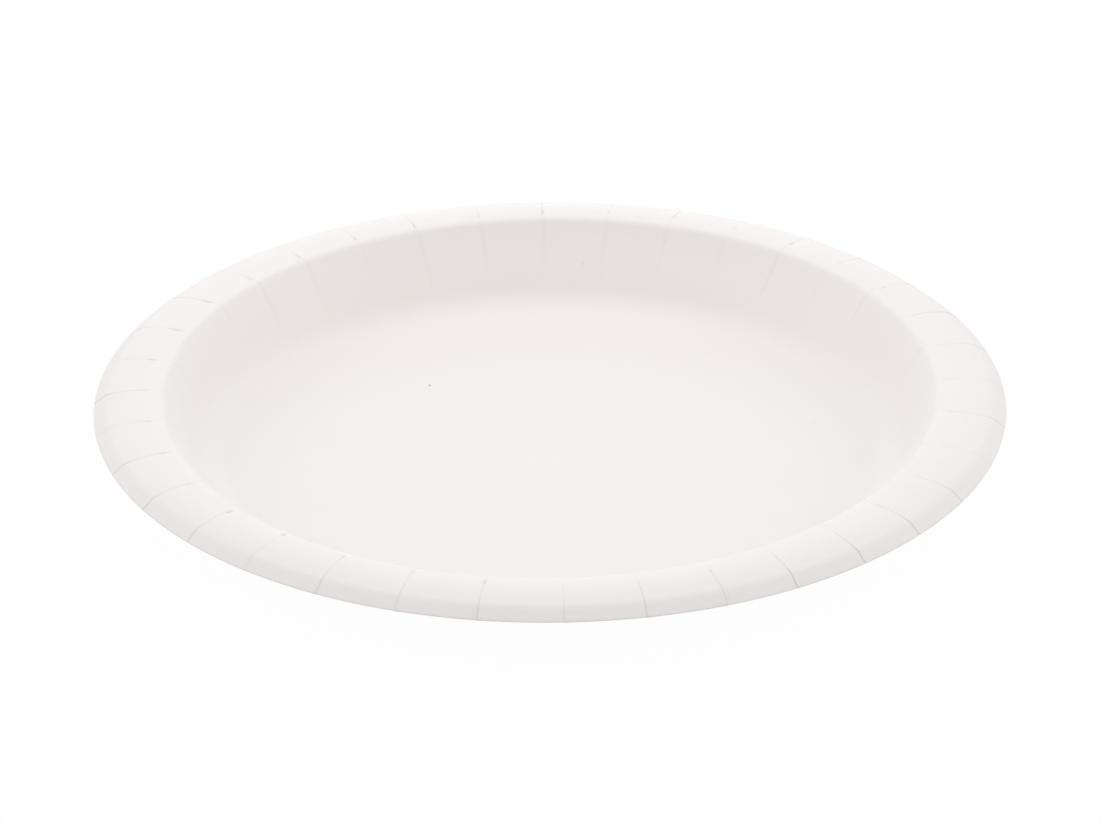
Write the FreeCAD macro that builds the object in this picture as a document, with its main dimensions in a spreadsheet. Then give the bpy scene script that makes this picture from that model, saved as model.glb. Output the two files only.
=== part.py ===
# Round pressed paper plate: one disc of white board, scored and pleated all
# round, pressed into a flat floor, a sloping wall and a rolled rim.
# Millimetres, +Z up, origin at the centre of the underside of the floor.
import FreeCAD, Part
import os
from math import asin, cos, pi, radians, sin, sqrt

import Sketcher

Vector = FreeCAD.Vector

doc = FreeCAD.newDocument("paper_plate")

# Driving sizes, angles in degrees
SIZES = {
    "plate_diameter": 230.0,    # across the rim's outer edge
    "board": 0.45,              # thickness of the board
    "floor_radius": 81.0,       # flat middle of the floor
    "cove_radius": 9.5,         # hollow corner from floor to wall, upper face
    "wall_slope": 54.0,         # above the level
    "shoulder_radius": 2.4,     # bend from the wall to the rim, upper face
    "rim_height": 18.45,        # top of the rim above the table
    "crown_ring": 103.5,        # radius of the rim's highest ring
    "crown_arc": 32.0,          # radius of the rim's slight crown, in section
    "roll_radius": 4.0,         # bend from the rim to the lip, upper face
    "lip_slope": 40.0,          # below the level
    "lip_length": 3.0,          # straight part of the lip, down its slope
    "pleat_count": 36,
    "step_start": 0.12,         # height of a fold's step where the rim begins
    "step_edge": 0.22,          # height of a fold's step at the lip
    "strip_start": 0.7,         # width of the pressed strip beside the step, same places
    "strip_edge": 1.3,
    "tuck_height": 0.25,        # spare board folded under the rim, below the underside
    "tuck_start": 0.5,          # its width where the rim begins
    "tuck_edge": 1.05,          # its width at the lip
    "tuck_setback": 0.6,        # its end, short of the lip's edge
    "step_overrun": 1.0,        # the step is cut this far past the lip's edge
}

sheet = doc.addObject("Spreadsheet::Sheet", "sizes")
for row, (name, value) in enumerate(SIZES.items(), start=1):
    sheet.set("A%d" % row, name)
    sheet.set("B%d" % row, str(value))
    sheet.setAlias("B%d" % row, name)
doc.recompute()


def size(name):
    """A driving size, read back from the sheet."""
    return float(sheet.get(name))


def polar(centre, radius, turn):
    """Point on a circle of the section, turned from straight up towards the outside."""
    return Vector(centre.x + radius * sin(turn), centre.y + radius * cos(turn), 0)


def arc(centre, radius, turn_a, turn_b):
    """Arc of the section between two turns from straight up, the smaller one first."""
    circle = Part.Circle(centre, Vector(0, 0, 1), radius)
    return Part.ArcOfCircle(circle, pi / 2 - turn_b, pi / 2 - turn_a)


class Bends:
    """Centres and turns of the bends in the section's upper line."""

    def __init__(self):
        self.wall = radians(size("wall_slope"))
        self.lip = radians(size("lip_slope"))
        self.cove = Vector(size("floor_radius"), size("board") + size("cove_radius"), 0)
        self.crown = Vector(size("crown_ring"), size("rim_height") - size("crown_arc"), 0)
        self.place_shoulder()
        self.place_roll()

    def place_shoulder(self):
        """The shoulder touches the wall on one side and the crown on the other."""
        along = Vector(cos(self.wall), sin(self.wall), 0)
        across = Vector(sin(self.wall), -cos(self.wall), 0)
        foot = self.cove + across * (size("cove_radius") + size("shoulder_radius"))
        gap = foot - self.crown
        reach = size("crown_arc") - size("shoulder_radius")
        run = -gap.dot(along) + sqrt(gap.dot(along) ** 2 - gap.dot(gap) + reach ** 2)
        self.shoulder = foot + along * run
        self.shoulder_turn = asin((self.shoulder.x - self.crown.x) / reach)

    def place_roll(self):
        """The roll touches the crown, and the outer edge says how far out it lies."""
        ring = (size("plate_diameter") / 2 - size("roll_radius") * sin(self.lip)
                - size("lip_length") * cos(self.lip))
        reach = size("crown_arc") - size("roll_radius")
        self.roll_turn = asin((ring - self.crown.x) / reach)
        self.roll = polar(self.crown, reach, self.roll_turn)

    def line(self, depth, overrun=0):
        """Floor, cove, wall, shoulder, crown, roll and lip, at a depth below the upper face."""
        cove = arc(self.cove, size("cove_radius") + depth, pi - self.wall, pi)
        shoulder = arc(self.shoulder, size("shoulder_radius") - depth,
                       -self.wall, self.shoulder_turn)
        crown = arc(self.crown, size("crown_arc") - depth, self.shoulder_turn, self.roll_turn)
        roll = arc(self.roll, size("roll_radius") - depth, self.roll_turn, self.lip)
        run = Vector(cos(self.lip), -sin(self.lip), 0) * (size("lip_length") + overrun)
        return [
            Part.LineSegment(Vector(0, cove.StartPoint.y, 0), cove.StartPoint),
            cove,
            Part.LineSegment(cove.EndPoint, shoulder.EndPoint),
            shoulder,
            crown,
            roll,
            Part.LineSegment(roll.StartPoint, roll.StartPoint + run),
        ]


# Stretches of a line in their order, ends of a stretch, and the sketcher's own axes
FLOOR, COVE, WALL, SHOULDER, CROWN, ROLL, LIP = range(7)
START, END, CENTRE = 1, 2, 3
LEVEL, UPRIGHT = -1, -2
ORIGIN = (LEVEL, START)
bends = Bends()


def origin_item(body, role):
    """One of the body's own origin planes or axes."""
    return next(item for item in body.Origin.OriginFeatures if item.Role == role)


def new_sketch(body, name, role):
    """Sketch on one of the body's own origin planes."""
    sketch = body.newObject("Sketcher::SketchObject", name)
    sketch.AttachmentSupport = [(origin_item(body, role), "")]
    sketch.MapMode = "FlatFace"
    doc.recompute()
    return sketch


def worth(sketch, text):
    """Value of an expression on the sheet's sizes."""
    return float(sketch.evalExpression(text))


def relate(sketch, kind, *places):
    """Constraint without a value."""
    return sketch.addConstraint(Sketcher.Constraint(kind, *places))


def drive(sketch, name, kind, *places, bound_to, value=None):
    """Named constraint whose value follows the sheet."""
    if value is None:
        value = worth(sketch, bound_to)
    index = sketch.addConstraint(Sketcher.Constraint(kind, *places, value))
    sketch.renameConstraint(index, name)
    sketch.setExpression("Constraints." + name, bound_to)


def read_out(sketch, name, kind, place):
    """Named constraint that only measures a point, for other sketches to follow."""
    point = sketch.getPoint(*place)
    value = point.x if kind == "DistanceX" else point.y
    index = sketch.addConstraint(Sketcher.Constraint(kind, *ORIGIN, *place, value))
    sketch.setDriving(index, False)
    sketch.renameConstraint(index, name)


def check_sketch(sketch):
    """A sketch counts only where its constraints agree and leave nothing free."""
    doc.recompute()
    if sketch.solve() != 0 or not sketch.FullyConstrained:
        raise RuntimeError("sketch %s is not fully constrained" % sketch.Name)


def chain(sketch, first):
    """Joins the seven stretches, each smoothly to the next."""
    relate(sketch, "Tangent", first + FLOOR, END, first + COVE, START)
    relate(sketch, "Tangent", first + COVE, END, first + WALL, START)
    relate(sketch, "Tangent", first + WALL, END, first + SHOULDER, END)
    relate(sketch, "Tangent", first + SHOULDER, START, first + CROWN, END)
    relate(sketch, "Tangent", first + CROWN, START, first + ROLL, END)
    relate(sketch, "Tangent", first + ROLL, START, first + LIP, START)
    relate(sketch, "Horizontal", first + FLOOR)


def upper_line(sketch, overrun="0"):
    """The section's upper line with its sizes, its lip made longer by the overrun."""
    for stretch in bends.line(0, worth(sketch, overrun)):
        sketch.addGeometry(stretch, False)
    chain(sketch, 0)
    relate(sketch, "PointOnObject", FLOOR, START, UPRIGHT)
    drive(sketch, "board", "DistanceY", *ORIGIN, FLOOR, START, bound_to="sizes.board")
    drive(sketch, "floor_radius", "DistanceX", FLOOR, START, FLOOR, END,
          bound_to="sizes.floor_radius")
    drive(sketch, "cove_radius", "Radius", COVE, bound_to="sizes.cove_radius")
    drive(sketch, "shoulder_radius", "Radius", SHOULDER, bound_to="sizes.shoulder_radius")
    drive(sketch, "crown_arc", "Radius", CROWN, bound_to="sizes.crown_arc")
    drive(sketch, "roll_radius", "Radius", ROLL, bound_to="sizes.roll_radius")
    drive(sketch, "wall_slope", "Angle", FLOOR, START, WALL, START, value=bends.wall,
          bound_to="sizes.wall_slope * 1deg")
    drive(sketch, "lip_slope", "Angle", LIP, START, LEVEL, START, value=bends.lip,
          bound_to="sizes.lip_slope * 1deg")
    drive(sketch, "crown_ring", "DistanceX", *ORIGIN, CROWN, CENTRE,
          bound_to="sizes.crown_ring")
    drive(sketch, "crown_depth", "DistanceY", CROWN, CENTRE, *ORIGIN,
          bound_to="sizes.crown_arc - sizes.rim_height")
    drive(sketch, "lip_length", "Distance", LIP, bound_to="sizes.lip_length + " + overrun)
    drive(sketch, "lip_ring", "DistanceX", *ORIGIN, LIP, END,
          bound_to="sizes.plate_diameter / 2 + (%s) * cos(sizes.lip_slope)" % overrun)


def half_section(body):
    """Half section of the board: upper and lower lines, one thickness apart all the way."""
    sketch = new_sketch(body, "half_section", "XZ_Plane")
    upper_line(sketch)
    lower = sketch.GeometryCount
    for stretch in bends.line(size("board")):
        sketch.addGeometry(stretch, False)
    chain(sketch, lower)
    for bend in (COVE, SHOULDER, CROWN, ROLL):
        relate(sketch, "Coincident", bend, CENTRE, lower + bend, CENTRE)
    relate(sketch, "Parallel", WALL, lower + WALL)
    relate(sketch, "Coincident", *ORIGIN, lower + FLOOR, START)
    upper_edge = sketch.getPoint(LIP, END)
    lower_edge = sketch.getPoint(lower + LIP, END)
    edge = sketch.addGeometry(Part.LineSegment(upper_edge, lower_edge), False)
    relate(sketch, "Coincident", edge, START, LIP, END)
    relate(sketch, "Coincident", edge, END, lower + LIP, END)
    relate(sketch, "Perpendicular", edge, LIP)
    relate(sketch, "Perpendicular", edge, lower + LIP)
    middle = Part.LineSegment(Vector(0, 0, 0), Vector(0, size("board"), 0))
    axis = sketch.addGeometry(middle, False)
    relate(sketch, "Coincident", axis, START, lower + FLOOR, START)
    relate(sketch, "Coincident", axis, END, FLOOR, START)
    check_sketch(sketch)
    return sketch


def fold_path(body, name, overrun):
    """Path of a fold: out over the crown and the roll, and down the lip."""
    sketch = new_sketch(body, name, "XZ_Plane")
    upper_line(sketch, overrun)
    for stretch in (FLOOR, COVE, WALL, SHOULDER):
        sketch.toggleConstruction(stretch)
    read_out(sketch, "start_ring", "DistanceX", (CROWN, END))
    read_out(sketch, "start_level", "DistanceY", (CROWN, END))
    read_out(sketch, "lip_level", "DistanceY", (LIP, END))
    check_sketch(sketch)
    return sketch


def across_fold(body, name, path, ring, level, slope, corners):
    """Closed outline square to the fold's path, its corners given across and above the face."""
    sketch = new_sketch(body, name, "YZ_Plane")
    tilt = FreeCAD.Rotation(Vector(1, 0, 0), worth(sketch, slope))
    sketch.AttachmentOffset = FreeCAD.Placement(Vector(0, 0, 0), tilt)
    sketch.setExpression(".AttachmentOffset.Base.z", "%s.Constraints.%s" % (path.Name, ring))
    sketch.setExpression(".AttachmentOffset.Base.y", "%s.Constraints.%s" % (path.Name, level))
    sketch.setExpression(".AttachmentOffset.Rotation.Angle", slope)
    points = [Vector(worth(sketch, across), worth(sketch, above), 0) for across, above in corners]
    following = points[1:] + points[:1]
    for point, next_point in zip(points, following):
        sketch.addGeometry(Part.LineSegment(point, next_point), False)
    for corner, (across, above) in enumerate(corners):
        relate(sketch, "Coincident", corner, END, (corner + 1) % len(corners), START)
        drive(sketch, "across_%d" % corner, "DistanceX", *ORIGIN, corner, START, bound_to=across)
        drive(sketch, "above_%d" % corner, "DistanceY", *ORIGIN, corner, START, bound_to=above)
    check_sketch(sketch)
    return sketch


def step_corners(height, width):
    """The step stands on the fold line, and the strip rises from its foot back to the face."""
    return [("0", "-" + height), ("0", height), ("-2 * " + width, height)]


def tuck_corners(height, width):
    """The tuck lies under the board, rooted half-way into it."""
    root = "-sizes.board / 2"
    bottom = "-sizes.board - " + height
    return [("0", root), ("0", bottom), (width, bottom), (width, root)]


def along_fold(body, kind, name, overrun, start_corners, edge_corners):
    """Feature that runs along a fold and changes evenly from its start to the lip's edge."""
    path = fold_path(body, name + "_path", overrun)
    start = across_fold(body, name + "_start", path, "start_ring", "start_level", "0",
                        start_corners)
    edge = across_fold(body, name + "_edge", path, "lip_ring", "lip_level", "sizes.lip_slope",
                       edge_corners)
    feature = body.newObject(kind, name)
    feature.Profile = start
    feature.Spine = (path, ["Edge1", "Edge2", "Edge3"])
    feature.Sections = [(edge, [""])]
    feature.Transformation = "Multisection"
    doc.recompute()
    return feature


def pressed_plate():
    """The whole plate: the turned dish, one fold, and that fold repeated all round."""
    body = doc.addObject("PartDesign::Body", "plate")
    body.Label = "plate"
    section = half_section(body)
    dish = body.newObject("PartDesign::Revolution", "dish")
    dish.Profile = section
    dish.ReferenceAxis = (section, ["V_Axis"])
    dish.Angle = 360
    doc.recompute()
    step = along_fold(body, "PartDesign::SubtractivePipe", "step", "sizes.step_overrun",
                      step_corners("sizes.step_start", "sizes.strip_start"),
                      step_corners("sizes.step_edge", "sizes.strip_edge"))
    tuck = along_fold(body, "PartDesign::AdditivePipe", "tuck", "-sizes.tuck_setback",
                      tuck_corners("sizes.tuck_height", "sizes.tuck_start"),
                      tuck_corners("sizes.tuck_height", "sizes.tuck_edge"))
    pleats = body.newObject("PartDesign::PolarPattern", "pleats")
    pleats.Originals = [step, tuck]
    pleats.Axis = (origin_item(body, "Z_Axis"), [""])
    pleats.Angle = 360
    pleats.setExpression("Occurrences", "sizes.pleat_count")
    body.Tip = pleats
    doc.recompute()
    return body


def check_document(plate):
    """Every feature is sound, and the plate is one valid solid with its folds in it."""
    for item in doc.Objects:
        if "Invalid" in item.State or "Error" in item.State:
            raise RuntimeError("%s failed: %s" % (item.Name, item.State))
    if plate.Shape.isNull() or not plate.Shape.isValid() or len(plate.Shape.Solids) != 1:
        raise RuntimeError("the plate is not one valid solid")
    faces = len(plate.Shape.Faces)
    if faces < len(doc.dish.Shape.Faces) + 2 * int(size("pleat_count")):
        raise RuntimeError("the folds are missing: %d faces" % faces)


plate = pressed_plate()
check_document(plate)
os.makedirs("parts", exist_ok=True)
plate.Shape.exportStep("parts/%s.step" % plate.Label)
print("plate: %d faces, %.0f cubic mm" % (len(plate.Shape.Faces), plate.Shape.Volume))
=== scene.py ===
# A white pressed paper plate with a pleated, rolled rim, standing on a pale floor in soft light.
import random
from math import asin, atan, cos, pi, radians, sin, sqrt

import bpy
import numpy as np
from mathutils import Matrix, Vector


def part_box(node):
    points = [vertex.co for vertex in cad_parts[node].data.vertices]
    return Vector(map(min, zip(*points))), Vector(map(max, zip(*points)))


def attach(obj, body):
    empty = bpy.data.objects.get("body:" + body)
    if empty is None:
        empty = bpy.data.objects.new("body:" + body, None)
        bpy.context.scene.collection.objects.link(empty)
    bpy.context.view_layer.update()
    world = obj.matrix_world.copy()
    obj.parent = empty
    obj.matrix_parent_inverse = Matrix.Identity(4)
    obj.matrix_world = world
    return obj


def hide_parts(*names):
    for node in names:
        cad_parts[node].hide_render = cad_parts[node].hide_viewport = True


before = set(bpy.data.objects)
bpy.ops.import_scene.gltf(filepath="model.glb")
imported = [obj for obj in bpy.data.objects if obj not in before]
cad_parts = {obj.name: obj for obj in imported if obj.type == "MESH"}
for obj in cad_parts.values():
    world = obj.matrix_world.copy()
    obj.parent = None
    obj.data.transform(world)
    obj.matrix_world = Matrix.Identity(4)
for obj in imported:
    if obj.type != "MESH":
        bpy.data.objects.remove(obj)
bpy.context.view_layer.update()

MM = 0.001

# Section of the pressed board, in millimetres
OUTER_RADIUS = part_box("plate")[1].x / MM
RIM_HEIGHT = 18.45
BOARD = 0.45
FLOOR_RADIUS = 81.0
COVE_RADIUS = 9.5
WALL_SLOPE = radians(54)
SHOULDER_RADIUS = 2.4
CROWN_RING = 103.5
CROWN_ARC = 32.0
ROLL_RADIUS = 4.0
LIP_SLOPE = radians(40)
LIP_LENGTH = 3.0
CUT_EDGE_ROUNDING = 0.2

# Folds, in millimetres: where they run, then the height and width of each form
PLEATS = 36
PITCH = 2 * pi / PLEATS
FOLD_START = 102.0
FOLD_RISE = 1.2
LIP_START = 108.5
LIP_RUN = 3.5
CREASE_START = 83.0
CREASE_RUN = 13.0
STEP_HEIGHT = 0.045
STRIP_START = 0.7
STRIP_EDGE = 1.3
SWELL_RIM = 0.02
SWELL_LIP = 0.03
SWELL_WIDTH = 1.1
SWELL_FOOT = 0.3
GROOVE_DEPTH = 0.03
GROOVE_WIDTH = 0.12
CREASE_DEPTH = 0.05
CREASE_WIDTH = 0.5
DIMPLE_DEPTH = 0.15
DIMPLE_WIDTH = 0.33
DIMPLE_LENGTH = 0.8
DIMPLE_PLACE = 0.3
TUCK_WIDTH = 1.05
TUCK_HEIGHT = 0.22

# How strongly each form is darkened, from 0 to 1, and how wide that shows: the board's crushing
# plus painted shade along the lines, creases and start hollows, and painted shade alone on the
# strip behind each step
LINE_CRUSH_AND_SHADE = 0.13
LIP_LINE_CRUSH_AND_SHADE = 0.07
LINE_CRUSH_AND_SHADE_WIDTH = 0.16
STRIP_PAINTED_SHADE = 0.06
CREASE_CRUSH_AND_SHADE = 0.04
CREASE_CRUSH_AND_SHADE_WIDTH = 0.6
DIMPLE_CRUSH_AND_SHADE = 0.24
DIMPLE_CRUSH_AND_SHADE_WIDTH = 0.3

# How far the pressed plate is out of true, in radius: swing round the plate, and mean
FOOT_SWING, FOOT_INSET = 1.5, 0.7
SHOULDER_SWING, SHOULDER_INSET, SHOULDER_SKEW = 0.8, 0.9, radians(41)
EDGE_SWING, EDGE_INSET = 0.7, 0.7

# Board colours
PALE_TONES = ((0.858, 0.833, 0.822, 1), (0.866, 0.842, 0.832, 1))
# painted warm light: the warm tint that the light gives the floor and wall towards the back
WARM_LIGHT_TINT = (0.890, 0.846, 0.825, 1)
# painted shade in the folds' grooves, strips and hollows, together with the darker crushing of
# the board
CRUSH_AND_SHADE_TONE = (0.50, 0.43, 0.39, 1)
SPECK_TONE = (0.14, 0.11, 0.10, 1)

# Dark specks of bark in the board: place and radius in millimetres, and how dark
SPECKS = (
    ((-30.4, 35.6), 0.50, 0.75),
    ((11.1, 89.9), 0.45, 0.11),
    ((42.5, 50.5), 0.42, 0.16),
    ((68.0, 11.7), 0.50, 0.13),
)

# Camera, fitted to the pleat starts: they lie on one level circle
PLEAT_LEVEL = 18.2
VIEW_TURN = radians(-1.1)
VIEW_SLOPE = radians(27.25)
VIEW_ROLL = radians(-0.34)
VIEW_DISTANCE = 1231.0
VIEW_FOCUS = 4879.0
IMAGE_WIDTH = 1100
CENTRE_ABOVE_MIDDLE = 27.4
SENSOR = 36.0

# Light: even level all round, then each lamp's name, turn from the front, slope above the level,
# distance, width and level
TENT_LEVEL = 0.73
LAMPS = (
    ("overhead_lamp", pi, radians(60), 1.6, 1.3, 0.22),
    ("backdrop_lamp", pi, radians(14), 2.4, 0.9, 0.10),
    ("left_lamp", -pi / 2, radians(25), 1.8, 1.2, 0.155),
    ("right_lamp", pi / 2, radians(25), 1.8, 1.2, 0.155),
)
GLOW_SHARE = 0.975
FLOOR_GREY = (0.75, 0.75, 0.75, 1)
FLOOR_PALE = (0.92, 0.92, 0.92, 1)

dice = random.Random(36)


def select_none():
    """Leaves nothing selected and nothing in edit mode."""
    if bpy.context.object and bpy.context.object.mode != "OBJECT":
        bpy.ops.object.mode_set(mode="OBJECT")
    bpy.ops.object.select_all(action="DESELECT")


def only(piece):
    """Makes one piece the only selected one, and the active one."""
    select_none()
    piece.select_set(True)
    bpy.context.view_layer.objects.active = piece


# Section
def spread(first, last, steps):
    """Even values from first to last, the last one included and the first one left out."""
    return [first + (last - first) * step / steps for step in range(1, steps + 1)]


def upper_stations():
    """Points of the upper face from the middle out: radius, height and tilt of the face."""
    cove_level = BOARD + COVE_RADIUS
    crown_level = RIM_HEIGHT - CROWN_ARC
    reach = CROWN_ARC - SHOULDER_RADIUS
    foot_r = FLOOR_RADIUS + (COVE_RADIUS + SHOULDER_RADIUS) * sin(WALL_SLOPE) - CROWN_RING
    foot_z = cove_level - (COVE_RADIUS + SHOULDER_RADIUS) * cos(WALL_SLOPE) - crown_level
    along = foot_r * cos(WALL_SLOPE) + foot_z * sin(WALL_SLOPE)
    run = -along + sqrt(along ** 2 - foot_r ** 2 - foot_z ** 2 + reach ** 2)
    shoulder_r = CROWN_RING + foot_r + run * cos(WALL_SLOPE)
    shoulder_z = crown_level + foot_z + run * sin(WALL_SLOPE)
    shoulder_tilt = asin((shoulder_r - CROWN_RING) / reach)
    roll_ring = OUTER_RADIUS - ROLL_RADIUS * sin(LIP_SLOPE) - LIP_LENGTH * cos(LIP_SLOPE)
    roll_tilt = asin((roll_ring - CROWN_RING) / (CROWN_ARC - ROLL_RADIUS))
    roll_r = CROWN_RING + (CROWN_ARC - ROLL_RADIUS) * sin(roll_tilt)
    roll_z = crown_level + (CROWN_ARC - ROLL_RADIUS) * cos(roll_tilt)

    stations = [(r, BOARD, 0.0) for r in (0.0, 35.0, 62.0, 75.0, FLOOR_RADIUS)]
    for tilt in spread(0.0, -WALL_SLOPE, 8):
        stations.append((FLOOR_RADIUS - COVE_RADIUS * sin(tilt),
                         cove_level - COVE_RADIUS * cos(tilt), tilt))
    foot = stations[-1]
    top = (shoulder_r - SHOULDER_RADIUS * sin(WALL_SLOPE),
           shoulder_z + SHOULDER_RADIUS * cos(WALL_SLOPE))
    for share in spread(0.0, 1.0, 6):
        stations.append((foot[0] + (top[0] - foot[0]) * share,
                         foot[1] + (top[1] - foot[1]) * share, -WALL_SLOPE))
    for tilt in spread(-WALL_SLOPE, shoulder_tilt, 6):
        stations.append((shoulder_r + SHOULDER_RADIUS * sin(tilt),
                         shoulder_z + SHOULDER_RADIUS * cos(tilt), tilt))
    for tilt in spread(shoulder_tilt, roll_tilt, 19):
        stations.append((CROWN_RING + CROWN_ARC * sin(tilt),
                         crown_level + CROWN_ARC * cos(tilt), tilt))
    for tilt in spread(roll_tilt, LIP_SLOPE, 6):
        stations.append((roll_r + ROLL_RADIUS * sin(tilt),
                         roll_z + ROLL_RADIUS * cos(tilt), tilt))
    lip = stations[-1]
    for run in spread(0.0, LIP_LENGTH - CUT_EDGE_ROUNDING, 5):
        stations.append((lip[0] + run * cos(LIP_SLOPE), lip[1] - run * sin(LIP_SLOPE), LIP_SLOPE))
    return stations


def below(station, depth):
    """Place at a depth under a station, square to the face."""
    r, z, tilt = station
    return (r - depth * sin(tilt), z - depth * cos(tilt))


def whole_section():
    """Closed run of the section: upper face outwards, cut edge, underside back inwards.

    Each point is radius, height, tilt, and depth in the board from 0 to 1.
    """
    upper = upper_stations()
    last = upper[-1]
    points = [(r, z, tilt, 0.0) for r, z, tilt in upper]
    for turn in (radians(35), radians(90), radians(145)):
        r, z = below(last, BOARD * (1 - cos(turn)) / 2)
        bulge = CUT_EDGE_ROUNDING * sin(turn)
        points.append((r + bulge * cos(LIP_SLOPE), z - bulge * sin(LIP_SLOPE),
                       LIP_SLOPE, (1 - cos(turn)) / 2))
    for station in reversed(upper):
        r, z = below(station, BOARD)
        points.append((r, z, station[2], 1.0))
    return points


# Plate mesh
def fold_columns():
    """Turns of the columns across one panel, close together beside the fold in its middle."""
    beside = [0.05, 0.13, 0.25, 0.5, 0.95, 1.12, 1.8, 3.4, 6.2]
    turns = [distance / (OUTER_RADIUS - 5) for distance in beside]
    half = PITCH / 2
    return [-half] + [-turn for turn in reversed(turns)] + turns + [half]


def draw_section(points):
    """A line of edges through the section's points, drawn on the side of the first column."""
    bpy.ops.mesh.primitive_plane_add(size=MM, location=(0, 0, 0))
    piece = bpy.context.object
    bpy.ops.object.mode_set(mode="EDIT")
    bpy.ops.mesh.select_all(action="SELECT")
    bpy.ops.mesh.merge(type="CENTER")
    bpy.ops.transform.translate(value=(points[0][0] * MM, 0, points[0][1] * MM))
    for here, following in zip(points, points[1:]):
        step = ((following[0] - here[0]) * MM, 0, (following[1] - here[1]) * MM)
        bpy.ops.mesh.extrude_region_move(TRANSFORM_OT_translate={"value": step})
    bpy.ops.mesh.select_all(action="SELECT")
    return piece


def turn_panel(columns):
    """Turns the section's line through one panel, a column at a time."""
    bpy.ops.transform.rotate(value=-columns[0], orient_axis="Z", center_override=(0, 0, 0))
    for here, following in zip(columns, columns[1:]):
        bpy.ops.mesh.spin(steps=1, angle=following - here, center=(0, 0, 0), axis=(0, 0, 1))
    bpy.ops.object.mode_set(mode="OBJECT")


def repeat_round(piece, count):
    """Repeats a panel round the axis and joins the copies."""
    bpy.ops.object.empty_add(location=(0, 0, 0), rotation=(0, 0, 2 * pi / count))
    pivot = bpy.context.object
    only(piece)
    ring = piece.modifiers.new("ring", "ARRAY")
    ring.count = count
    ring.use_relative_offset = False
    ring.use_object_offset = True
    ring.offset_object = pivot
    bpy.ops.object.modifier_apply(modifier=ring.name)
    bpy.data.objects.remove(pivot)
    bpy.ops.object.mode_set(mode="EDIT")
    bpy.ops.mesh.select_all(action="SELECT")
    bpy.ops.mesh.remove_doubles(threshold=0.002 * MM)
    bpy.ops.mesh.normals_make_consistent(inside=False)
    bpy.ops.object.mode_set(mode="OBJECT")


def smooth_step(value):
    """From 0 to 1, level at both ends."""
    value = np.clip(value, 0.0, 1.0)
    return value * value * (3 - 2 * value)


def bell(distance, width):
    """1 in the middle, and fading to both sides."""
    return np.exp(-(distance / width) ** 2)


class Folds:
    """What differs from one fold to the next; turns are counted from the photograph's right."""

    def __init__(self):
        turn = np.arange(PLEATS) * PITCH - VIEW_TURN
        self.drift = self.draw(0.0, 0.1) + 0.28 * np.sin(turn) + 0.58 * np.sin(3 * turn)
        self.side = np.array([dice.choice((-1, 1, 1)) for fold in range(PLEATS)])
        self.depth = np.clip(self.draw(1.05, 0.25), 0.7, 1.5)
        self.wall = np.clip(self.draw(1.0, 0.5), 0.2, 2.0)
        self.start = self.draw(FOLD_START, 0.3) + 0.5 * np.cos(turn) - 1.1 * np.cos(3 * turn)
        self.dimple = np.clip(self.draw(1.0, 0.3) - 0.45 * np.cos(turn), 0.25, 1.8)

    def draw(self, middle, spread_by):
        """One chance value for each fold."""
        return np.array([dice.gauss(middle, spread_by) for fold in range(PLEATS)])


def along_folds(r, turn, folds):
    """For each point: its fold, the way across it, and how far the fold is formed there."""
    fold = np.rint(turn / PITCH).astype(int) % PLEATS
    across = (turn - np.rint(turn / PITCH) * PITCH) * r * folds.side[fold]
    past_start = r - folds.start[fold]
    rim = smooth_step(past_start / FOLD_RISE)
    lip = smooth_step((r - LIP_START) / LIP_RUN)
    wall = smooth_step((r - CREASE_START) / CREASE_RUN)
    wall = wall * (1 - smooth_step((past_start + 2.5) / 2.0))
    return fold, across, past_start, rim, lip, wall


def behind_step(across, width):
    """The strip on the low side of the step: 1 at the step, 0 at the strip's far side."""
    return np.where(across < 0, np.clip(1 + across / width, 0, 1), 0.0)


def at_start(past_start, across, width):
    """The small hollow where a fold starts."""
    return bell(past_start - DIMPLE_PLACE, DIMPLE_LENGTH) * bell(across, width)


def press_folds(r, turn, depth, folds):
    """Height by which each point of the plate stands off its smooth section, in millimetres."""
    fold, across, past_start, rim, lip, wall = along_folds(r, turn, folds)
    step = STEP_HEIGHT * (1 + lip) * rim * folds.depth[fold]
    strip = STRIP_START + (STRIP_EDGE - STRIP_START) * lip
    raised = np.where(across >= 0, bell(across, SWELL_WIDTH), bell(across, SWELL_FOOT))
    upper = -step * behind_step(across, strip) + (SWELL_RIM + SWELL_LIP * lip) * rim * raised
    upper -= GROOVE_DEPTH * rim * bell(across, GROOVE_WIDTH) * folds.depth[fold]
    upper -= CREASE_DEPTH * wall * bell(across, CREASE_WIDTH) * folds.wall[fold]
    upper -= DIMPLE_DEPTH * folds.dimple[fold] * at_start(past_start, across, DIMPLE_WIDTH)

    under_rim = smooth_step((r - 92.0) / 10.0)
    tuck = np.where((across > 0) & (across < TUCK_WIDTH), 1.0, 0.0)
    lower = -TUCK_HEIGHT * tuck * under_rim - 0.03 * bell(across, 0.5) * wall
    return upper * (1 - depth) + lower * depth


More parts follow.
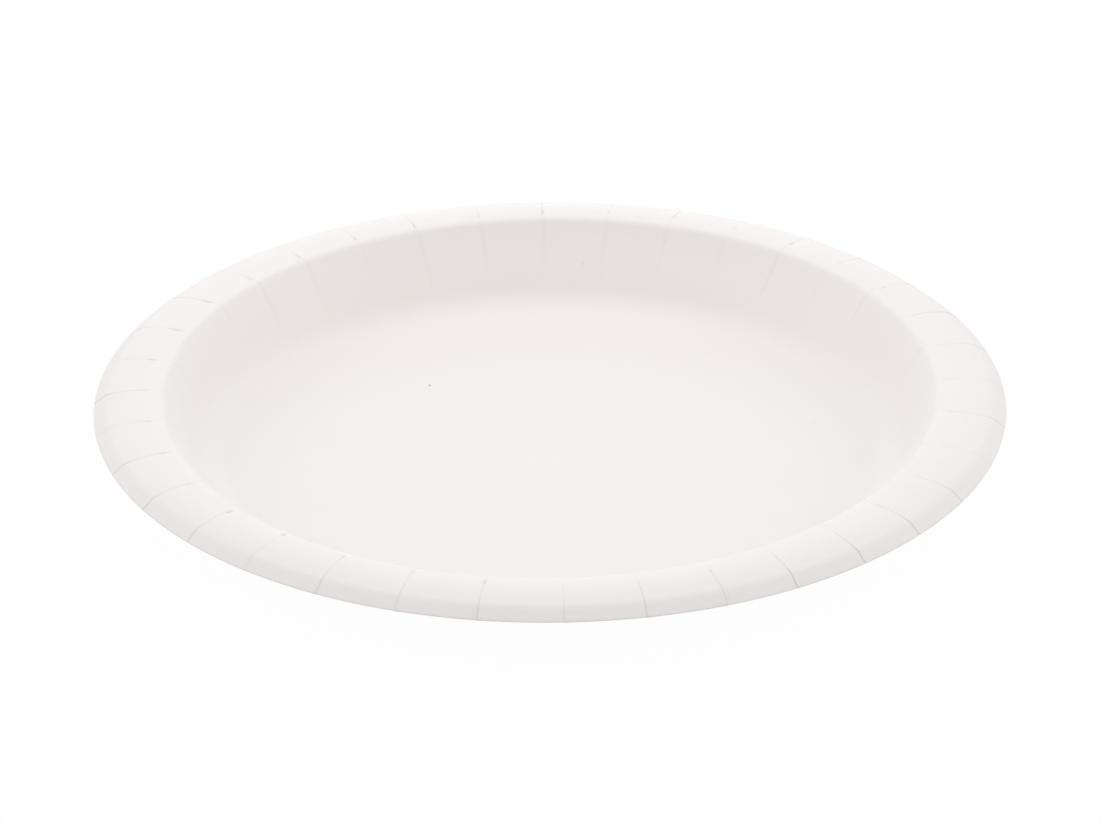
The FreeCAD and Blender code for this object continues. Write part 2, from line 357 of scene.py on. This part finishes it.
def crushed_fibre_and_shade(r, turn, depth, folds):
    """How far the folds are darkened, from 0 to 1: the board's crushing plus painted shade along
    the lines, creases and start hollows, and painted shade alone on the strip behind each step.
    """
    fold, across, past_start, rim, lip, wall = along_folds(r, turn, folds)
    line = (LINE_CRUSH_AND_SHADE + LIP_LINE_CRUSH_AND_SHADE * lip) * rim * folds.depth[fold]
    line = line * bell(across, LINE_CRUSH_AND_SHADE_WIDTH)
    # painted shade on the low strip behind each step
    strip = STRIP_PAINTED_SHADE * lip * rim * behind_step(across, STRIP_EDGE)
    crease = CREASE_CRUSH_AND_SHADE * wall * smooth_step((r - 88.0) / 8.0) * folds.wall[fold]
    crease = crease * bell(across, CREASE_CRUSH_AND_SHADE_WIDTH)
    dimple = DIMPLE_CRUSH_AND_SHADE * folds.dimple[fold]
    dimple = dimple * at_start(past_start, across, DIMPLE_CRUSH_AND_SHADE_WIDTH)
    return np.clip(line + strip + crease + dimple, 0.0, 1.0) * (1 - depth)


def unevenness(r, turn, folds):
    """How far the pressed plate is out of true: in radius, in millimetres, and in turn.

    Seen from above the rim is a little wider at the left and right than at the front and back,
    where the wall in turn takes more room, and the folds aren't quite evenly spaced.
    """
    oval = np.cos(2 * (turn - VIEW_TURN))
    foot = smooth_step((r - 76.0) / 8.0) * (1 - smooth_step((r - 88.0) / 9.0))
    shoulder = smooth_step((r - 88.0) / 9.0) * (1 - smooth_step((r - 99.5) / 4.0))
    skew_oval = np.cos(2 * (turn - VIEW_TURN) + SHOULDER_SKEW)
    edge = smooth_step((r - 103.0) / 8.0)
    radial = (foot * (FOOT_SWING * oval - FOOT_INSET)
              - shoulder * (SHOULDER_SWING * skew_oval + SHOULDER_INSET)
              + edge * (EDGE_SWING * oval - EDGE_INSET))

    before = np.floor(turn / PITCH).astype(int)
    share = turn / PITCH - before
    here, following = folds.drift[before % PLEATS], folds.drift[(before + 1) % PLEATS]
    drift = here * (1 - share) + following * share
    return radial, np.radians(drift) * smooth_step((r - 60.0) / 35.0)


def shape_plate(piece, points, folds):
    """Presses the folds and the plate's unevenness into the turned mesh."""
    mesh = piece.data
    co = np.empty(len(mesh.vertices) * 3)
    mesh.vertices.foreach_get("co", co)
    co = co.reshape(-1, 3) / MM
    r = np.hypot(co[:, 0], co[:, 1])
    turn = np.arctan2(co[:, 1], co[:, 0])
    z = co[:, 2]
    table = np.array(points)
    gap = (r[:, None] - table[None, :, 0]) ** 2 + (z[:, None] - table[None, :, 1]) ** 2
    station = table[gap.argmin(1)]
    tilt, depth = station[:, 2], station[:, 3]
    height = press_folds(r, turn, depth, folds)
    # darkness along the folds: the board's crushing plus painted shade
    crush_and_shade = mesh.attributes.new("crush_and_shade", "FLOAT", "POINT")
    crush_and_shade.data.foreach_set("value", crushed_fibre_and_shade(r, turn, depth, folds))
    r_new = r + height * np.sin(tilt)
    z_new = z + height * np.cos(tilt)
    radial, drift = unevenness(r, turn, folds)
    r_new = r_new + radial
    turn = turn + drift
    out = np.stack([r_new * np.cos(turn), r_new * np.sin(turn), np.maximum(z_new, 0.0)], 1) * MM
    mesh.vertices.foreach_set("co", out.ravel())
    mesh.update()


def pressed_plate(board):
    """The whole plate in one mesh."""
    select_none()
    points = whole_section()
    piece = draw_section(points)
    piece.name = "pressed_plate"
    turn_panel(fold_columns())
    repeat_round(piece, PLEATS)
    shape_plate(piece, points, Folds())
    only(piece)
    bpy.ops.object.shade_smooth_by_angle(angle=radians(50))
    piece.data.materials.clear()
    piece.data.materials.append(board)
    return piece


# Materials
def node(tree, kind, **values):
    """Adds a node and sets its own values."""
    made = tree.nodes.new(kind)
    for name, value in values.items():
        setattr(made, name, value)
    return made


def speck_mask(tree, place, centre, radius, darkness):
    """Mask of one small round speck, seen from above."""
    offset = node(tree, "ShaderNodeVectorMath", operation="SUBTRACT")
    offset.inputs[1].default_value = (centre[0] * MM, centre[1] * MM, 0)
    level = node(tree, "ShaderNodeVectorMath", operation="MULTIPLY")
    level.inputs[1].default_value = (1, 1, 0)
    away = node(tree, "ShaderNodeVectorMath", operation="LENGTH")
    mask = node(tree, "ShaderNodeMapRange", interpolation_type="SMOOTHSTEP")
    mask.inputs["From Min"].default_value = radius * MM
    mask.inputs["From Max"].default_value = 0.3 * radius * MM
    mask.inputs["To Max"].default_value = darkness
    tree.links.new(place.outputs["Vector"], offset.inputs[0])
    tree.links.new(offset.outputs["Vector"], level.inputs[0])
    tree.links.new(level.outputs["Vector"], away.inputs[0])
    tree.links.new(away.outputs["Value"], mask.inputs["Value"])
    return mask.outputs["Result"]


def all_specks(tree, place):
    """The specks of SPECKS together, on faces that look up only."""
    surface = node(tree, "ShaderNodeNewGeometry")
    upright = node(tree, "ShaderNodeSeparateXYZ")
    facing_up = node(tree, "ShaderNodeMath", operation="GREATER_THAN")
    facing_up.inputs[1].default_value = 0.0
    tree.links.new(surface.outputs["True Normal"], upright.inputs["Vector"])
    tree.links.new(upright.outputs["Z"], facing_up.inputs[0])
    masks = [speck_mask(tree, place, *speck) for speck in SPECKS]
    joined = masks[0]
    for mask in masks[1:]:
        larger = node(tree, "ShaderNodeMath", operation="MAXIMUM")
        tree.links.new(joined, larger.inputs[0])
        tree.links.new(mask, larger.inputs[1])
        joined = larger.outputs["Value"]
    kept = node(tree, "ShaderNodeMath", operation="MULTIPLY")
    tree.links.new(joined, kept.inputs[0])
    tree.links.new(facing_up.outputs["Value"], kept.inputs[1])
    return kept.outputs["Value"]


def rippled_place(tree, place):
    """Place shifted a little by fine noise, for ragged outlines."""
    ripple = node(tree, "ShaderNodeTexNoise")
    ripple.inputs["Scale"].default_value = 2500.0
    small = node(tree, "ShaderNodeVectorMath", operation="SCALE")
    small.inputs["Scale"].default_value = 0.35 * MM
    shifted = node(tree, "ShaderNodeVectorMath", operation="ADD")
    tree.links.new(place, ripple.inputs["Vector"])
    tree.links.new(ripple.outputs["Color"], small.inputs[0])
    tree.links.new(place, shifted.inputs[0])
    tree.links.new(small.outputs["Vector"], shifted.inputs[1])
    return shifted


def painted_warm_light(tree, place):
    """Share of the painted warm light tint: it grows towards the back and stops at the rim."""
    parts = node(tree, "ShaderNodeSeparateXYZ")
    to_back = node(tree, "ShaderNodeMapRange", interpolation_type="SMOOTHSTEP")
    to_back.inputs["From Min"].default_value = -60.0 * MM
    to_back.inputs["From Max"].default_value = 90.0 * MM
    level = node(tree, "ShaderNodeVectorMath", operation="MULTIPLY")
    level.inputs[1].default_value = (1, 1, 0)
    from_axis = node(tree, "ShaderNodeVectorMath", operation="LENGTH")
    inside_rim = node(tree, "ShaderNodeMapRange", interpolation_type="SMOOTHSTEP")
    inside_rim.inputs["From Min"].default_value = 104.0 * MM
    inside_rim.inputs["From Max"].default_value = 97.0 * MM
    share = node(tree, "ShaderNodeMath", operation="MULTIPLY")
    tree.links.new(place, parts.inputs["Vector"])
    tree.links.new(parts.outputs["Y"], to_back.inputs["Value"])
    tree.links.new(place, level.inputs[0])
    tree.links.new(level.outputs["Vector"], from_axis.inputs[0])
    tree.links.new(from_axis.outputs["Value"], inside_rim.inputs["Value"])
    tree.links.new(to_back.outputs["Result"], share.inputs[0])
    tree.links.new(inside_rim.outputs["Result"], share.inputs[1])
    return share.outputs["Value"]


def pale_tone(tree, place):
    """Two near whites in faint clouds."""
    cloud = node(tree, "ShaderNodeTexNoise")
    cloud.inputs["Scale"].default_value = 60.0
    cloud.inputs["Detail"].default_value = 3.0
    tone = node(tree, "ShaderNodeValToRGB")
    for element, position, colour in zip(tone.color_ramp.elements, (0.3, 0.7), PALE_TONES):
        element.position = position
        element.color = colour
    tree.links.new(place, cloud.inputs["Vector"])
    tree.links.new(cloud.outputs["Fac"], tone.inputs["Fac"])
    return tone.outputs["Color"]


def toned(tree, colour, tone, share):
    """The colour, turned towards a tone by a share."""
    mix = node(tree, "ShaderNodeMix", data_type="RGBA")
    mix.inputs["B"].default_value = tone
    tree.links.new(colour, mix.inputs["A"])
    tree.links.new(share, mix.inputs["Factor"])
    return mix.outputs["Result"]


def fibre_relief(tree, place, shader):
    """Fine fibre in the board's gloss and in its relief."""
    fibre = node(tree, "ShaderNodeTexNoise")
    fibre.inputs["Scale"].default_value = 1400.0
    fibre.inputs["Detail"].default_value = 4.0
    fibre.inputs["Roughness"].default_value = 0.6
    tree.links.new(place, fibre.inputs["Vector"])
    rough = node(tree, "ShaderNodeMapRange")
    rough.inputs["To Min"].default_value = 0.5
    rough.inputs["To Max"].default_value = 0.66
    tree.links.new(fibre.outputs["Fac"], rough.inputs["Value"])
    tree.links.new(rough.outputs["Result"], shader.inputs["Roughness"])
    bump = node(tree, "ShaderNodeBump")
    bump.inputs["Strength"].default_value = 0.15
    bump.inputs["Distance"].default_value = 0.05 * MM
    tree.links.new(fibre.outputs["Fac"], bump.inputs["Height"])
    tree.links.new(bump.outputs["Normal"], shader.inputs["Normal"])


def board_material():
    """White paper board: fine fibre, a faint cloudy tone, a dull calendered sheen, four specks.

    The folds are darkened by the board's crushing and by painted shade, and towards the back the
    floor and the wall are painted a shade warmer, standing in for the warm tint of the light
    there.
    """
    material = bpy.data.materials.new("white_paper_board")
    material.use_nodes = True
    tree = material.node_tree
    shader = tree.nodes["Principled BSDF"]
    shader.inputs["Specular IOR Level"].default_value = 0.35
    shader.inputs["Sheen Weight"].default_value = 0.08
    shader.inputs["Sheen Roughness"].default_value = 0.4
    place = node(tree, "ShaderNodeTexCoord").outputs["Object"]
    crush_and_shade = node(tree, "ShaderNodeAttribute", attribute_name="crush_and_shade")
    # painted warm light: the warm tint of the light on the floor and wall towards the back
    colour = toned(tree, pale_tone(tree, place), WARM_LIGHT_TINT, painted_warm_light(tree, place))
    # painted shade along the folds, with the board's crushing
    colour = toned(tree, colour, CRUSH_AND_SHADE_TONE, crush_and_shade.outputs["Fac"])
    colour = toned(tree, colour, SPECK_TONE, all_specks(tree, rippled_place(tree, place)))
    tree.links.new(colour, shader.inputs["Base Color"])
    fibre_relief(tree, place, shader)
    return material


def floor_material():
    """Pale grey floor that the camera sees as white, with the plate's faint shadow on it."""
    material = bpy.data.materials.new("pale_floor")
    material.use_nodes = True
    tree = material.node_tree
    shader = tree.nodes["Principled BSDF"]
    shader.inputs["Roughness"].default_value = 0.9
    shader.inputs["Specular IOR Level"].default_value = 0.2
    path = node(tree, "ShaderNodeLightPath")
    paint = node(tree, "ShaderNodeMix", data_type="RGBA")
    paint.inputs["A"].default_value = FLOOR_GREY
    paint.inputs["B"].default_value = FLOOR_PALE
    glow = node(tree, "ShaderNodeEmission")
    glow.inputs["Color"].default_value = (1, 1, 1, 1)
    glow.inputs["Strength"].default_value = 1.0
    share = node(tree, "ShaderNodeMath", operation="MULTIPLY")
    share.inputs[1].default_value = GLOW_SHARE
    mix = node(tree, "ShaderNodeMixShader")
    tree.links.new(path.outputs["Is Camera Ray"], paint.inputs["Factor"])
    tree.links.new(paint.outputs["Result"], shader.inputs["Base Color"])
    tree.links.new(path.outputs["Is Camera Ray"], share.inputs[0])
    tree.links.new(share.outputs["Value"], mix.inputs["Fac"])
    tree.links.new(shader.outputs["BSDF"], mix.inputs[1])
    tree.links.new(glow.outputs["Emission"], mix.inputs[2])
    tree.links.new(mix.outputs["Shader"], tree.nodes["Material Output"].inputs["Surface"])
    return material


# Stage
def pale_floor():
    """A floor wide enough for every view."""
    select_none()
    bpy.ops.mesh.primitive_plane_add(size=12, location=(0, 0, -0.05 * MM))
    floor = bpy.context.object
    floor.name = "floor"
    floor.data.materials.append(floor_material())
    return floor


def surroundings(strength):
    """Even light from all round; what the camera sees of it is plain white."""
    world = bpy.data.worlds.new("soft_tent")
    bpy.context.scene.world = world
    world.use_nodes = True
    tree = world.node_tree
    back = tree.nodes["Background"]
    back.inputs["Color"].default_value = (1, 1, 1, 1)
    path = node(tree, "ShaderNodeLightPath")
    level = node(tree, "ShaderNodeMapRange")
    level.inputs["To Min"].default_value = strength
    level.inputs["To Max"].default_value = 1.0
    tree.links.new(path.outputs["Is Camera Ray"], level.inputs["Value"])
    tree.links.new(level.outputs["Result"], back.inputs["Strength"])


def soft_lamp(name, turn, slope, distance, size, level):
    """Square soft lamp that looks at the plate and lights it to a level, square on."""
    place = Vector((cos(slope) * sin(turn), -cos(slope) * cos(turn), sin(slope))) * distance
    data = bpy.data.lights.new(name, "AREA")
    data.shape = "SQUARE"
    data.size = size
    data.energy = level * pi * pi * distance ** 2
    lamp = bpy.data.objects.new(name, data)
    bpy.context.scene.collection.objects.link(lamp)
    lamp.location = place
    lamp.rotation_euler = place.to_track_quat("Z", "Y").to_euler()
    return lamp


def photo_camera():
    """Camera at the photograph's place."""
    data = bpy.data.cameras.new("camera")
    data.sensor_width = SENSOR
    data.lens = VIEW_FOCUS / IMAGE_WIDTH * SENSOR
    data.clip_end = 50
    camera = bpy.data.objects.new("camera", data)
    bpy.context.scene.collection.objects.link(camera)
    look_down = VIEW_SLOPE + atan(CENTRE_ABOVE_MIDDLE / VIEW_FOCUS)
    pivot = Vector((0, 0, PLEAT_LEVEL * MM))
    away = Vector((0, -cos(VIEW_SLOPE), sin(VIEW_SLOPE))) * VIEW_DISTANCE * MM
    turn = Matrix.Rotation(VIEW_TURN, 4, "Z")
    aim = Matrix.Rotation(pi / 2 - look_down, 4, "X") @ Matrix.Rotation(VIEW_ROLL, 4, "Z")
    camera.matrix_world = Matrix.Translation(pivot + turn @ away) @ turn @ aim
    bpy.context.scene.camera = camera


plate = pressed_plate(board_material())
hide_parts("plate")
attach(plate, "root")

pale_floor()
surroundings(TENT_LEVEL)
for lamp in LAMPS:
    soft_lamp(*lamp)
photo_camera()
bpy.context.scene.view_settings.view_transform = "Standard"
